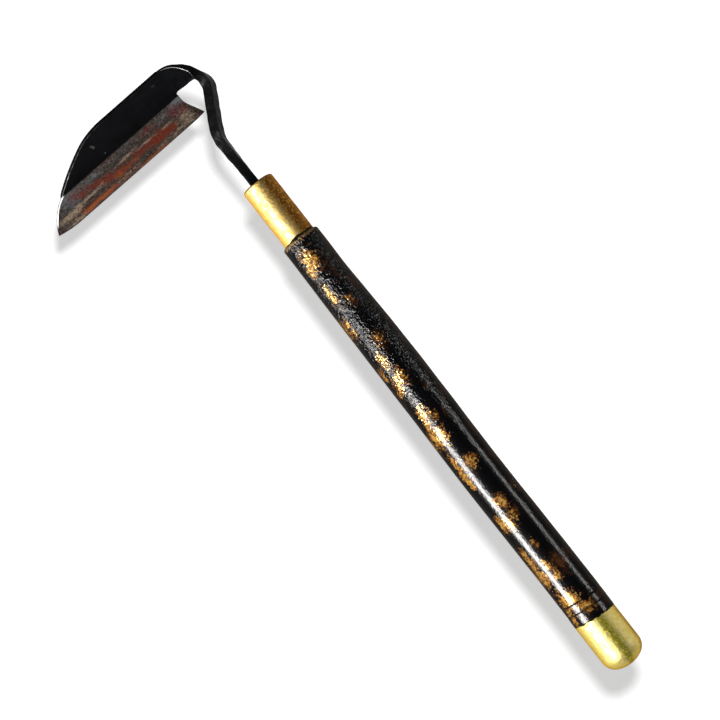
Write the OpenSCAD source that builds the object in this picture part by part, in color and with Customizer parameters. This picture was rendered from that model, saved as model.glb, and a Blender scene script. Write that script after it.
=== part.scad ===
// Hand hoe with a bent blade: the blade, its swan neck and the tang are one forging drawn from a
// square bar, laid with an edge of harder steel, and set in a lacquered wooden handle that has a
// brass ferrule in front and a brass cap on its butt.
// Millimetres. X runs along the handle towards the blade, Y towards the blade's toe, and the
// blade's hollow side faces +Z. The origin is on the handle's axis, half way along the grip.

/* [Handle] */
// Radius of the parallel grip
grip_r = 13.7; // [12:0.1:17]
// Length of the parallel grip, from the swell to the first ring
grip_len = 158; // [100:1:220]
// Length over which the handle narrows towards the ferrule
swell_len = 86; // [40:1:120]
// Radius of the even front part, behind the ferrule
front_r = 12.7; // [11.6:0.1:13.6]
// Length of the even front part
front_len = 28.4; // [10:0.1:60]
// Rounding of the wood's front shoulder
shoulder_round = 1.5; // [0.5:0.1:2.5]
// Width of each ring line scored near the butt
ring_w = 0.6; // [0.3:0.1:1]
// Depth of each ring line
ring_depth = 0.25; // [0.1:0.05:0.5]
// Distance between the two ring lines
ring_gap = 6.1; // [3:0.1:12]
// Distance from the second ring line to the cap
ring_to_cap = 6.9; // [2:0.1:10]

/* [Ferrule] */
// Outer radius of the ferrule
ferrule_r = 10.6; // [9.5:0.1:11.4]
// Length of the ferrule
ferrule_len = 42.2; // [25:0.1:55]
// Wall of the ferrule
ferrule_wall = 1; // [0.6:0.1:1.6]
// Gap between the bar's corners and the hole in the ferrule's turned-in front
mouth_gap = 2.1; // [0.5:0.1:2.5]
// Rounding of the ferrule's front rim
lip_round = 1.6; // [0.3:0.1:2]

/* [Butt cap] */
// Length of the cap
cap_len = 35.6; // [25:0.1:50]
// How much slimmer the cap is than the grip, so that a sleeve slides over it
cap_step = 0.1; // [0.1:0.05:0.6]
// Wall of the cap
cap_wall = 0.8; // [0.5:0.1:1.5]
// Radius of the cap's rounded end, seen from the side
cap_corner = 9.5; // [4:0.1:10.5]
// Radius of the shallow dome on its end
cap_dome = 20; // [18:0.5:40]

/* [Fits] */
// Gap between the wood's tenons and the brass round them
fit_gap = 0.1; // [0.05:0.01:0.25]
// Gap round the tang in its hole
tang_gap = 0.1; // [0.05:0.01:0.25]

/* [Tang] */
// Length of the tang inside the handle, from the ferrule's mouth
tang_len = 85; // [60:1:110]
// Length of its even part, before it tapers
tang_even = 30; // [15:1:45]
// How far the tang sits askew in the handle, in degrees
tang_skew = 0.6; // [0:0.1:1]
// Width of the tang's tip
tang_tip = 3.4; // [2.5:0.1:5]

/* [Neck] */
// Side of the square bar
bar_w = 6.2; // [5:0.1:8]
// Side of the bar in the crank and the bow, where it is left thicker
bow_w = 6.9; // [5.5:0.1:8.5]
// Bevel along the bar's corners
bar_bevel = 0.7; // [0.3:0.1:1.2]
// How far the neck leans to one side as it leaves the ferrule, in degrees
neck_lean = 0.2; // [0:0.1:4]
// Length of the neck's first straight
neck_run = 30.4; // [20:0.1:50]
// Turn of the crank away from the blade, in degrees
crank_turn = 29.2; // [15:0.1:45]
// Radius of the crank
crank_r = 25.4; // [15:0.1:35]
// Length of the straight between the crank and the bow
neck_rise = 23; // [10:0.1:35]
// Turn of the bow's tight part, in degrees
bow_turn = 50.7; // [30:0.1:60]
// Radius of the bow's tight part
bow_r = 10.7; // [9:0.1:20]
// Turn of the bow's open part, in degrees
bridge_turn = 24.8; // [10:0.1:38]
// Radius of the bow's open part
bridge_r = 37.1; // [25:0.1:60]
// Radius of the throat, where the bar flattens into the blade
throat_r = 14.6; // [13:0.1:24]
// Twist of the bar along the crank and the straight after it, in degrees
neck_twist = 30; // [10:1:40]

/* [Blade] */
// Angle between the handle and the blade's fold, in degrees
blade_angle = 93.4; // [80:0.1:105]
// Slope of the sole to the handle, in degrees
sole_tilt = 14.5; // [5:0.5:25]
// Angle of the fold between web and sole, in degrees
fold_angle = 131.7; // [115:0.1:150]
// Thickness of the plate
plate_t = 1.7; // [1.2:0.1:3]
// Width of the upright web
web_w = 29.1; // [22:0.1:36]
// Length of the web's straight top edge
web_top = 45; // [30:0.1:80]
// Radius of the web's shoulder
shoulder_r = 39.5; // [30:0.5:60]
// Turn of the web's shoulder, in degrees
shoulder_turn = 33.2; // [25:0.1:40]
// Further turn of the web's edge down to the fold, in degrees
toe_turn = 12; // [6:1:24]
// Width of the sole, the part that cuts
sole_w = 18.9; // [16:0.1:28]
// Slant of the sole's toe where it leaves the fold, in degrees
sole_toe = 25; // [25:1:45]
// Radius of the sole's toe
toe_r = 35; // [30:1:100]
// Slant of the sole's heel, in degrees
heel_slant = 25; // [10:1:35]
// Length of the heel's straight start at the fold
notch_run = 3; // [1:0.1:5]
// Radius of the notch between the sole's heel and the web
notch_r = 11; // [6:0.5:16]
// How far the edge draws back at the heel
edge_heel = 0.1; // [0:0.05:0.3]
// How far the edge draws back at the toe
edge_toe = 2.3; // [0:0.1:4]

/* [Cutting edge] */
// Width of the ground bevel
bevel_w = 8.3; // [5:0.1:12]
// Thickness left at the edge
edge_t = 0.4; // [0.2:0.05:0.8]
// Width of the bright bevel round the toe
toe_bevel = 1.3; // [0.5:0.1:1.4]
// Width of the laid steel
steel_w = 12; // [9:0.1:15]
// Thickness of the laid steel
steel_t = 0.9; // [0.5:0.05:1.1]

/* [Hidden] */
$fn = 96;

// Places along the handle
ring_1 = -grip_len / 2 - ring_w / 2;
ring_2 = ring_1 - ring_gap;
cap_x = ring_2 - ring_to_cap;
butt_x = cap_x - cap_len;
shoulder_x = grip_len / 2 + swell_len + front_len;
mouth_x = shoulder_x + ferrule_len;
front_tenon_r = ferrule_r - ferrule_wall - fit_gap;
cap_r = grip_r - cap_step;

// The neck's centre line is a walk from the tang's tip: each leg is [length, turn in degrees]
lean_len = 4;
end_run = 3;
throat_turn = blade_angle - tang_skew - neck_lean + crank_turn - bow_turn - bridge_turn;
function arc_len(r, turn) = r * abs(turn) * PI / 180;
neck_start = [mouth_x - tang_len, 0, tang_skew];
neck_legs = [
    [tang_len, 0],
    [lean_len, neck_lean],
    [neck_run - lean_len, 0],
    [arc_len(crank_r, crank_turn), -crank_turn],
    [neck_rise, 0],
    [arc_len(bow_r, bow_turn), bow_turn],
    [arc_len(bridge_r, bridge_turn), bridge_turn],
    [arc_len(throat_r, throat_turn), throat_turn],
    [end_run, 0],
];
function run_to(i) = i == 0 ? 0 : run_to(i - 1) + neck_legs[i - 1][0];
crank_s = run_to(3);
rise_s = run_to(4);
bow_s = run_to(5);
bridge_s = run_to(6);
throat_s = run_to(7);
web_s = run_to(8);
neck_s = run_to(9);

// The state [x, y, heading] after a length s of one leg, and of the whole walk
function along(p, leg, s) =
    leg[1] == 0 ? [p.x + s * cos(p.z), p.y + s * sin(p.z), p.z]
    : let (k = leg[0] * 180 / (leg[1] * PI), a = p.z + leg[1] * s / leg[0])
      [p.x + k * (sin(a) - sin(p.z)), p.y - k * (cos(a) - cos(p.z)), a];
function walk(p, legs, s, i = 0) =
    i == len(legs) - 1 || s <= legs[i][0] ? along(p, legs[i], s)
    : walk(along(p, legs[i], legs[i][0]), legs, s - legs[i][0], i + 1);

// The bar's section along the walk: [place, thickness, depth, lean in degrees]. It is square as
// far as the bow. Then it thins to the plate and deepens to the web, which leans outwards.
web_lean = 90 - (180 + sole_tilt - fold_angle);
throat_len = web_s - bridge_s;
inset = 0.06;
function bar_at(s, scale, twist) = [s, scale * bar_w, scale * bar_w, -twist * neck_twist];
function throat_at(part, thin, deep, lean) =
    [bridge_s + part * throat_len, thin * bar_w, bar_w + deep * (web_w - bar_w), lean * web_lean];
stations = [
    bar_at(0, tang_tip / bar_w, 0),
    bar_at(tang_len - tang_even, 1, 0),
    bar_at(tang_len, 1, 0),
    bar_at(crank_s, 1.05, 0.6),
    bar_at(rise_s, bow_w / bar_w, 1),
    bar_at(bow_s, bow_w / bar_w, 1),
    bar_at(bow_s + 0.6 * (bridge_s - bow_s), bow_w / bar_w, 0.9),
    bar_at(bridge_s, 1.07, 0.36),
    bar_at(bridge_s + 0.1 * throat_len, 1.03, 0.23),
    throat_at(0.2, 0.95, 0.16, 0.5),
    throat_at(0.3, 0.85, 0.34, 1.1),
    throat_at(0.5, 0.63, 0.62, 1.2),
    throat_at(0.7, 0.45, 0.82, 1.1),
    throat_at(0.85, 0.34, 0.93, 1.03),
    [web_s, plate_t - inset, web_w - inset, web_lean],
    [neck_s, plate_t - inset, web_w - inset, web_lean],
];
// Smooth value of a column at s, with the slope at each station taken from its neighbours
function slope(i, c) =
    i == 0 || i == len(stations) - 1 ? 0
    : let (a = stations[i - 1], b = stations[i], d = stations[i + 1],
           left = (b[c] - a[c]) / (b[0] - a[0]), right = (d[c] - b[c]) / (d[0] - b[0]))
      left * right <= 0 ? 0 : 2 * left * right / (left + right);
function section(s, c, i = 0) =
    i == len(stations) - 2 || s <= stations[i + 1][0]
    ? let (a = stations[i], b = stations[i + 1], h = b[0] - a[0], t = (s - a[0]) / h)
      a[c] * (1 + 2 * t) * (1 - t) * (1 - t) + h * slope(i, c) * t * (1 - t) * (1 - t)
      + b[c] * t * t * (3 - 2 * t) + h * slope(i + 1, c) * t * t * (t - 1)
    : section(s, c, i + 1);

// One ring of eight points: a rectangle with bevelled corners, hung from its top edge so that the
// walk passes half a bar below it
function ring(s) =
    let (p = walk(neck_start, neck_legs, s),
         t = section(s, 1), d = section(s, 2), lean = section(s, 3),
         top = min(bow_w, d) / 2, c = min(bar_bevel, t * 0.3),
         out = [sin(p.z), -cos(p.z), 0], up = [0, 0, 1],
         v = cos(lean) * up + sin(lean) * out, w = cos(lean) * out - sin(lean) * up)
    [for (q = [[t / 2 - c, top], [t / 2, top - c], [t / 2, top - d + c], [t / 2 - c, top - d],
               [c - t / 2, top - d], [-t / 2, top - d + c], [-t / 2, top - c], [c - t / 2, top]])
        [p.x, p.y, 0] + w * q[0] + v * q[1]];
ring_places = concat(
    [0, tang_len - tang_even],
    [for (i = [0:3]) tang_len + (crank_s - tang_len) * i / 3],
    [for (i = [1:5]) crank_s + (rise_s - crank_s) * i / 5],
    [for (i = [1:3]) rise_s + (bow_s - rise_s) * i / 3],
    [for (i = [1:8]) bow_s + (bridge_s - bow_s) * i / 8],
    [for (i = [1:20]) bridge_s + (web_s - bridge_s) * i / 20],
    [neck_s]
);

// A closed loft through rings of equally many points, all its faces triangles
module loft(rings) {
    n = len(rings[0]);
    m = len(rings);
    polyhedron(
        points = [for (r = rings) each r],
        faces = concat(
            [for (i = [1:n - 2]) [0, i, i + 1]],
            [for (k = [0:m - 2]) for (i = [0:n - 1]) let (j = (i + 1) % n)
                each [[k * n + i, (k + 1) * n + i, k * n + j],
                      [k * n + j, (k + 1) * n + i, (k + 1) * n + j]]],
            [for (i = [1:n - 2]) (m - 1) * n * [1, 1, 1] + [0, i + 1, i]]
        )
    );
}

// Points of an outline: legs of [length, turn, number of points] walked from a state
function trace(p, legs, i = 0) =
    i == len(legs) ? []
    : concat([for (j = [1:legs[i][2]]) let (q = along(p, legs[i], legs[i][0] * j / legs[i][2])) [q.x, q.y]],
             trace(along(p, legs[i], legs[i][0]), legs, i + 1));

// The web's outline, from the fold's heel end: x along the fold, y up the web
web_u = 1.4;
web_start = [web_u, web_w, 0];
shoulder_leg = [arc_len(shoulder_r, shoulder_turn), -shoulder_turn, 8];
shoulder_end = along(along(web_start, [web_top, 0], web_top), shoulder_leg, shoulder_leg[0]);
toe_mean = shoulder_turn + toe_turn / 2;
toe_chord = shoulder_end.y / sin(toe_mean);
toe_leg = [toe_chord * toe_turn * PI / 360 / sin(toe_turn / 2), -toe_turn, 5];
fold_len = shoulder_end.x + toe_chord * cos(toe_mean);

// The sole's outline: x along the fold, y from the fold to the edge
function edge_y(x) =
    sole_w - edge_heel * pow(max(0, (heel_span - x) / heel_span), 2)
    - edge_toe * pow(max(0, (x - toe_from) / (toe_x - toe_from)), 2);
heel_span = 4;
toe_from = fold_len;
toe_x = fold_len + toe_r * (sin(acos(cos(sole_toe) - sole_w / toe_r)) - sin(sole_toe));
sole_toe_leg = [1.5 * sole_w, 1.5 * sole_w * 180 / (toe_r * PI), 10];
edge_points = [for (i = [0:32]) let (x = -sole_w + (toe_x + 2 * sole_w) * i / 32) [x, edge_y(x)]];
module sole_outline() {
    heel = concat(trace([0, 0, 90], [[notch_run, 0, 1], [arc_len(notch_r, heel_slant), heel_slant, 5],
                                     [1.5 * sole_w, 0, 1]]));
    toe = trace([fold_len, 0, sole_toe], [sole_toe_leg]);
    intersection() {
        polygon(concat([[0, 0]], heel, [for (i = [len(toe) - 1:-1:0]) toe[i]], [[fold_len, 0]]));
        polygon(concat([[-2 * sole_w, -1]], edge_points, [[toe_x + 3 * sole_w, -1]]));
    }
}

// Place of the fold: the web's middle plane holds the end of the neck's walk
web_end = walk(neck_start, neck_legs, web_s);
module on_fold() {
    up_web = web_w - (bow_w + inset) / 2;
    translate([web_end.x, web_end.y, 0]) rotate([0, 0, web_end.z])
        translate([-web_u,
                   up_web * sin(web_lean) + plate_t / 2 * cos(web_lean),
                   plate_t / 2 * sin(web_lean) - up_web * cos(web_lean)])
            children();
}

// Everything that the grinding takes off the sole: the edge's bevel and the toe's bevel
bevel_drop = plate_t - edge_t;
module grinding() {
    over = 40;
    translate([-over, sole_w - bevel_w, 0]) rotate([-atan(bevel_drop / bevel_w), 0, 0])
        cube([fold_len + 3 * over, over, over / 4]);
    translate([fold_len - toe_r * sin(sole_toe), toe_r * cos(sole_toe), 0])
        rotate([0, 0, sole_toe - 90 - 4]) rotate_extrude(angle = sole_toe_leg[1] + 8, $fn = 360)
            polygon([[toe_r - toe_bevel, 0.001], [toe_r + 1, toe_bevel + 1.001],
                     [toe_r + 1, -toe_bevel - 1], [toe_r, -toe_bevel]]);
}
module sole_plate(from, to) {
    difference() {
        translate([0, 0, from]) linear_extrude(to - from) sole_outline();
        grinding();
    }
}
module steel_blank() {
    translate([-2 * sole_w, sole_w - steel_w, -plate_t - 1])
        cube([fold_len + 5 * sole_w, 2 * steel_w, 1 + steel_t]);
}

module blade_forging() color([0.10, 0.10, 0.12]) {
    loft([for (s = ring_places) ring(s)]);
    on_fold() {
        rotate([180 - (90 - web_lean), 0, 0]) linear_extrude(plate_t)
            polygon(concat([[0, 0], [web_u, web_w]],
                           trace(web_start, [[web_top, 0, 1], shoulder_leg, toe_leg])));
        rotate([0, 90, 0]) cylinder(r = plate_t, h = fold_len);
        rotate([-sole_tilt, 0, 0]) difference() {
            sole_plate(-plate_t, 0);
            steel_blank();
        }
    }
}

module edge_steel() color([0.45, 0.40, 0.33])
    on_fold() rotate([-sole_tilt, 0, 0]) intersection() {
        sole_plate(-plate_t, 0);
        steel_blank();
    }

// Turned parts are drawn as [radius, x] and laid along the handle
module turned() rotate([0, 90, 0]) rotate_extrude() children();
function arc(centre, r, from, to, n) =
    [for (i = [0:n]) let (a = from + (to - from) * i / n) centre + r * [cos(a), sin(a)]];

mouth_r = norm([bar_w / 2, bar_w / 2 - bar_bevel]) + mouth_gap;
module ferrule() color([0.80, 0.64, 0.30])
    let (bore_r = ferrule_r - ferrule_wall, inner = max(lip_round - ferrule_wall, 0.1))
    turned() polygon(concat(
        [[bore_r, shoulder_x], [ferrule_r, shoulder_x]],
        arc([ferrule_r - lip_round, mouth_x - lip_round], lip_round, 0, 90, 6),
        [[mouth_r, mouth_x], [mouth_r, mouth_x - ferrule_wall]],
        arc([bore_r - inner, mouth_x - ferrule_wall - inner], inner, 90, 0, 5)));

// The cap's end, from the axis to its side: a shallow dome that runs into a rounded corner
function nose(r, end_x, corner, dome) =
    let (rc = r - corner, d = sqrt(pow(dome - corner, 2) - rc * rc), a = atan(rc / d))
    concat([for (i = [0:6]) let (b = a * i / 6) [dome * sin(b), end_x + dome - dome * cos(b)]],
           [for (i = [1:8]) let (b = a + (90 - a) * i / 8)
               [rc + corner * sin(b), end_x + dome - d - corner * cos(b)]]);
module butt_cap() color([0.78, 0.66, 0.30]) turned()
    difference() {
        polygon(concat(nose(cap_r, butt_x, cap_corner, cap_dome), [[cap_r, cap_x], [0, cap_x]]));
        polygon(concat(nose(cap_r - cap_wall, butt_x + cap_wall, cap_corner - cap_wall, cap_dome - cap_wall),
                       [[cap_r - cap_wall, cap_x + 1], [0, cap_x + 1]]));
    }

// The tang's hole, along the tang itself: x from its tip
module tang_hole() {
    w = bar_w + 2 * tang_gap;
    tip = tang_tip + 2 * tang_gap;
    taper = tang_len - tang_even;
    translate([mouth_x - tang_len, 0, 0]) rotate([0, 0, tang_skew]) {
        translate([taper, -w / 2, -w / 2]) cube([tang_even + 1, w, w]);
        hull() {
            translate([taper - 0.001, -w / 2, -w / 2]) cube([0.002, w, w]);
            translate([0, -tip / 2, -tip / 2]) cube([0.002, tip, tip]);
        }
    }
}
module handle() color([0.12, 0.09, 0.07])
    difference() {
        rear_wall = cap_wall + fit_gap;
        turned() polygon(concat(
            nose(cap_r - rear_wall, butt_x + rear_wall, cap_corner - rear_wall, cap_dome - rear_wall),
            [[cap_r - rear_wall, cap_x], [grip_r, cap_x]],
            [for (x = [ring_2, ring_1]) each [[grip_r, x - ring_w / 2], [grip_r - ring_depth, x],
                                              [grip_r, x + ring_w / 2]]],
            [for (i = [0:10]) [grip_r - (grip_r - front_r) * pow(i / 10, 2), grip_len / 2 + swell_len * i / 10]],
            arc([front_r - shoulder_round, shoulder_x - shoulder_round], shoulder_round, 0, 90, 5),
            [[front_tenon_r, shoulder_x]],
            arc([front_tenon_r - lip_round, mouth_x - ferrule_wall - lip_round], lip_round, 0, 90, 5),
            [[0, mouth_x - ferrule_wall]]));
        tang_hole();
    }

blade_forging();
edge_steel();
ferrule();
handle();
butt_cap();
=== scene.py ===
import bmesh
import bpy
import numpy as np
from mathutils import Matrix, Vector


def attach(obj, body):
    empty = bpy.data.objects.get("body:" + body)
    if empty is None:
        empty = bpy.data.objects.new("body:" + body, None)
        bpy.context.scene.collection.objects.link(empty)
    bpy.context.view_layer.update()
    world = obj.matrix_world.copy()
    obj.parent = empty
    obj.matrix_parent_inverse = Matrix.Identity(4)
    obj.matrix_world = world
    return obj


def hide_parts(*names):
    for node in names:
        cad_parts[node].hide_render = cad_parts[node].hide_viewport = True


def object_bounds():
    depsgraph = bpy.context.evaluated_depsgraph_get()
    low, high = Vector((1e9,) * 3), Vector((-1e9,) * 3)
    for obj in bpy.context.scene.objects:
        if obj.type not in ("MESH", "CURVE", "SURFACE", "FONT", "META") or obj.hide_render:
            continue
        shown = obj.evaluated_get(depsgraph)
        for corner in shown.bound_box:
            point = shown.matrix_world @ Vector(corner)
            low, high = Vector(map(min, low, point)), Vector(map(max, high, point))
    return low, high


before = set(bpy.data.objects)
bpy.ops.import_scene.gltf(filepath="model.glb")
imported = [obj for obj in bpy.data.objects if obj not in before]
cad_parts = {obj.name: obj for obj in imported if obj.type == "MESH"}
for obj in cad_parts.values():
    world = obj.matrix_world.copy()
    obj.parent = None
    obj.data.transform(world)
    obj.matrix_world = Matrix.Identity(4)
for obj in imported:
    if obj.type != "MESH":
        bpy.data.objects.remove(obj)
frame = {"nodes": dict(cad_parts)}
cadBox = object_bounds()
mm = 0.001
upwards = np.array([0, 0, 1.0])
weldDistance, sharpAngle = 2e-6, 38          # in metres, and in degrees between two faces
print("frame loaded:", ", ".join(frame["nodes"]))


# Shapes: every piece is a grid of points in millimetres, with extra columns for its marks

def gridSheet(grid, loopRows=False, loopColumns=False):
    # the grid's points in one list, and the corners of its cells, wrapping round where asked
    rows, columns = grid.shape[:2]
    i = np.arange(rows if loopRows else rows - 1)[:, None]
    j = np.arange(columns if loopColumns else columns - 1)[None, :]
    nextRow, nextColumn = (i + 1) % rows * columns, (j + 1) % columns
    i = i * columns
    quads = np.stack([i + j, nextRow + j, nextRow + nextColumn, i + nextColumn], -1).reshape(-1, 4)
    return grid.reshape(-1, grid.shape[-1]), quads


def addObject(name, data):
    item = bpy.data.objects.new(name, data)
    bpy.context.scene.collection.objects.link(item)
    return item


def addPiece(name, sheets, marks, material, node):
    # joins grids [points and marks, quads] into one closed mesh that stands for a CAD node
    starts = np.cumsum([0] + [len(sheet[0]) for sheet in sheets])
    points = np.concatenate([sheet[0] for sheet in sheets])
    quads = np.concatenate([sheet[1] + start for sheet, start in zip(sheets, starts)])
    mesh = bpy.data.meshes.new(name)
    mesh.from_pydata((points[:, :3] * mm).tolist(), [], quads.tolist())
    for column, mark in enumerate(marks):
        layer = mesh.attributes.new(mark, "FLOAT", "POINT")
        layer.data.foreach_set("value", points[:, 3 + column].astype(np.float32))
    welded = bmesh.new()
    welded.from_mesh(mesh)
    bmesh.ops.remove_doubles(welded, verts=welded.verts, dist=weldDistance)
    bmesh.ops.dissolve_degenerate(welded, edges=welded.edges, dist=1e-7)
    bmesh.ops.recalc_face_normals(welded, faces=welded.faces)
    welded.to_mesh(mesh)
    openEdges = sum(1 for edge in welded.edges if len(edge.link_faces) != 2)
    welded.free()
    mesh.shade_smooth()
    mesh.set_sharp_from_angle(angle=np.radians(sharpAngle))
    mesh.materials.append(material)
    piece = addObject(name, mesh)
    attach(piece, "root")
    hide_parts(node)
    print("piece", name, len(mesh.polygons), "faces,", openEdges, "open edges")


def waves(points, size, seed, count=14):
    # an uneven field, mostly from -1 to 1: sine waves of one length in seeded directions, added up
    random = np.random.default_rng(seed)
    direction = random.normal(size=(3, count))
    direction /= np.linalg.norm(direction, axis=0) * size / (2 * np.pi)
    total = np.sin(points[..., :3] @ direction + random.uniform(0, 6.3, count)).sum(-1)
    return total / np.sqrt(count / 2) / 1.6


def ramp(x, start, length):
    # climbs evenly from 0 at the start to 1 a length further on; a negative length runs the other way
    return np.clip((x - start) / length, 0, 1)


def bell(x, centre, width):
    # e to the power of minus the squared distance from the centre, counted in widths
    return np.exp(-((x - centre) / width) ** 2)


def patches(a, b, spots):
    # soft ovals added up: each is [a, b, half length, half width, turn in degrees, strength]
    spots = np.array(spots, float)
    turn = np.radians(spots[:, 4])
    da, db = a[..., None] - spots[:, 0], b[..., None] - spots[:, 1]
    along = (da * np.cos(turn) + db * np.sin(turn)) / spots[:, 2]
    across = (db * np.cos(turn) - da * np.sin(turn)) / spots[:, 3]
    return np.clip((spots[:, 5] * np.exp(-along ** 2 - across ** 2)).sum(-1), 0, 1)


def walk(start, legs, s):
    # the heading turns evenly along each leg [length, turn], and the place is the sum of its steps
    lengths, turns = np.array(legs, float).T
    ends = np.append(0, np.cumsum(lengths))
    bearings = start[2] + np.append(0, np.cumsum(turns))
    fine = np.linspace(0, ends[-1], 6001)
    middle = np.radians(np.interp((fine[1:] + fine[:-1]) / 2, ends, bearings))
    x = start[0] + np.append(0, np.cumsum(np.cos(middle))) * fine[1]
    y = start[1] + np.append(0, np.cumsum(np.sin(middle))) * fine[1]
    return np.interp(s, fine, x), np.interp(s, fine, y), np.interp(s, ends, bearings)


def bend(radius, turn):
    # a leg of a walk: the length of the arc, and its turn in degrees
    return [radius * np.radians(abs(turn)), turn]


def ease(places, values, s):
    # a smooth curve through the values that never overshoots: cubic pieces with harmonic slopes
    places, values = np.array(places, float), np.array(values, float)
    rise = np.diff(values) / np.diff(places)
    product, total = rise[:-1] * rise[1:], rise[:-1] + rise[1:]
    slope = np.zeros(len(values))
    slope[1:-1] = np.where(product > 0, 2 * product / np.where(total == 0, 1, total), 0)
    i = np.clip(np.searchsorted(places, s) - 1, 0, len(places) - 2)
    h = places[i + 1] - places[i]
    t = (s - places[i]) / h
    return (values[i] * (1 + 2 * t) * (1 - t) ** 2 + h * slope[i] * t * (1 - t) ** 2
            + values[i + 1] * t * t * (3 - 2 * t) + h * slope[i + 1] * t * t * (t - 1))


def arc(centre, radius, start, stop, count):
    # points [x, radius] of an arc, angles measured from the radial direction towards +x
    angle = np.radians(np.linspace(start, stop, count))
    return np.stack([centre[0] + radius * np.sin(angle), centre[1] + radius * np.cos(angle)], 1)


def turnRound(profile, around):
    # carries a profile [x, radius] round the X axis; the angle starts at +Z and grows towards +Y
    angle = np.linspace(0, 2 * np.pi, around, endpoint=False)
    x = np.repeat(profile[:, :1], around, 1)
    radius = profile[:, 1:2]
    return np.stack([x, radius * np.sin(angle), radius * np.cos(angle)], -1), angle + 0 * x


def addTurned(name, points, marks, closed, material, node):
    # a turned grid with its named marks; a closed profile also joins its last ring to its first
    columns = np.broadcast_arrays(points[..., 0], *marks.values())[1:]
    data = np.concatenate([points, np.stack(columns, -1)], -1)
    addPiece(name, [gridSheet(data, closed, True)], list(marks), material, node)


def slab(top, bottom, rounding):
    # closes two facing grids with a rounded rim; extra columns are carried along
    def border(sheet):
        return np.concatenate([sheet[0, :-1], sheet[:-1, -1], sheet[-1, :0:-1], sheet[:0:-1, 0]])
    high, low = border(top), border(bottom)
    thick = np.linalg.norm(high[:, :3] - low[:, :3], axis=1, keepdims=True)
    normal = (high[:, :3] - low[:, :3]) / thick
    tangent = np.roll(high[:, :3], -1, 0) - np.roll(high[:, :3], 1, 0)
    outward = np.cross(tangent, normal)
    outward /= np.linalg.norm(outward, axis=1, keepdims=True) + 1e-12
    inside = top[top.shape[0] // 2, top.shape[1] // 2, :3]
    outward *= np.sign(((high[:, :3] - inside) * outward).sum())
    radius = np.minimum(rounding, 0.45 * thick)
    rows = []
    for edge, side in ((high, 1), (low, -1)):
        for angle in np.radians([90, 60, 30, 0] if side > 0 else [0, 30, 60, 90]):
            row = edge.copy()
            row[:, :3] -= (side * normal * radius * (1 - np.sin(angle))
                           + outward * radius * (1 - np.cos(angle)))
            rows.append(row)
    rim = np.stack(rows)
    for sheet, loop in ((top, rim[0]), (bottom, rim[-1])):
        a, b = sheet.shape[1] - 1, sheet.shape[0] - 1
        sheet[0, :-1], sheet[:-1, -1] = loop[:a], loop[a:a + b]
        sheet[-1, :0:-1], sheet[:0:-1, 0] = loop[a + b:2 * a + b], loop[2 * a + b:]
    return [gridSheet(top), gridSheet(bottom), gridSheet(rim, loopColumns=True)]


# Materials: small helpers for the shader nodes

def put(tree, kind, feeds=None, **fields):
    # adds a node, sets its fields, and feeds each input with a value or another node's output
    node = tree.nodes.new("ShaderNode" + kind)
    for field, value in fields.items():
        setattr(node, field, value)
    for key, value in (feeds or {}).items():
        if isinstance(value, bpy.types.NodeSocket):
            tree.links.new(value, node.inputs[key])
        else:
            node.inputs[key].default_value = value
    return node


def mixColour(tree, factor, first, second):
    colours = [c if isinstance(c, bpy.types.NodeSocket) else (*c, 1) for c in (first, second)]
    return put(tree, "Mix", {0: factor, 6: colours[0], 7: colours[1]}, data_type="RGBA").outputs[2]


def remap(tree, value, low, high, toLow=0.0, toHigh=1.0):
    return put(tree, "MapRange", {0: value, 1: low, 2: high, 3: toLow, 4: toHigh}).outputs[0]


def mathOf(tree, operation, first, second, third=0.0):
    return put(tree, "Math", {0: first, 1: second, 2: third}, operation=operation).outputs[0]


def times(tree, first, second):
    return mathOf(tree, "MULTIPLY", first, second)


def mark(tree, name):
    return put(tree, "Attribute", attribute_name=name).outputs["Fac"]


def newGroup(name, inputs, outputs):
    # a shader node group with named sockets, given as name and starting value
    tree = bpy.data.node_groups.new(name, "ShaderNodeTree")
    for label, value in inputs.items():
        socket = tree.interface.new_socket(label, in_out="INPUT", socket_type="NodeSocketFloat")
        socket.default_value = value
    for label in outputs:
        tree.interface.new_socket(label, in_out="OUTPUT", socket_type="NodeSocketFloat")
    return tree, tree.nodes.new("NodeGroupInput").outputs, tree.nodes.new("NodeGroupOutput").inputs


def noise(tree, place, scale, detail=3.0, roughness=0.55):
    return put(tree, "TexNoise", {"Vector": place, "Scale": scale, "Detail": detail,
                                  "Roughness": roughness}).outputs[0]


def stretched(tree, amount):
    # object coordinates with Y multiplied, so that textures run along Y where the amount is small
    factors = put(tree, "CombineXYZ", {"X": 1.0, "Y": amount, "Z": 1.0}).outputs[0]
    place = put(tree, "TexCoord").outputs["Object"]
    return put(tree, "VectorMath", {0: place, 1: factors}, operation="MULTIPLY").outputs[0]


def makeFray():
    # a soft mask gets a ragged edge: noise of a size in millimetres is added before it is cut off
    tree, given, result = newGroup("frayedEdge", {"Mask": 0.0, "Size": 2.5, "Fray": 0.5, "Softness": 0.12,
                                                  "Level": 0.4, "Stretch": 1.0}, ["Mask"])
    place = stretched(tree, given["Stretch"])
    scale = mathOf(tree, "DIVIDE", 1000.0, given["Size"])
    ragged = mathOf(tree, "SUBTRACT", noise(tree, place, scale, 3.0, 0.65), 0.5)
    shifted = mathOf(tree, "MULTIPLY_ADD", ragged, given["Fray"], given["Mask"])
    low = mathOf(tree, "SUBTRACT", given["Level"], given["Softness"])
    high = mathOf(tree, "ADD", given["Level"], given["Softness"])
    # nothing appears where the mask itself is close to 0
    near = remap(tree, given["Mask"], 0.01, 0.15)
    tree.links.new(times(tree, remap(tree, shifted, low, high), near), result["Mask"])
    return tree


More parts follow.
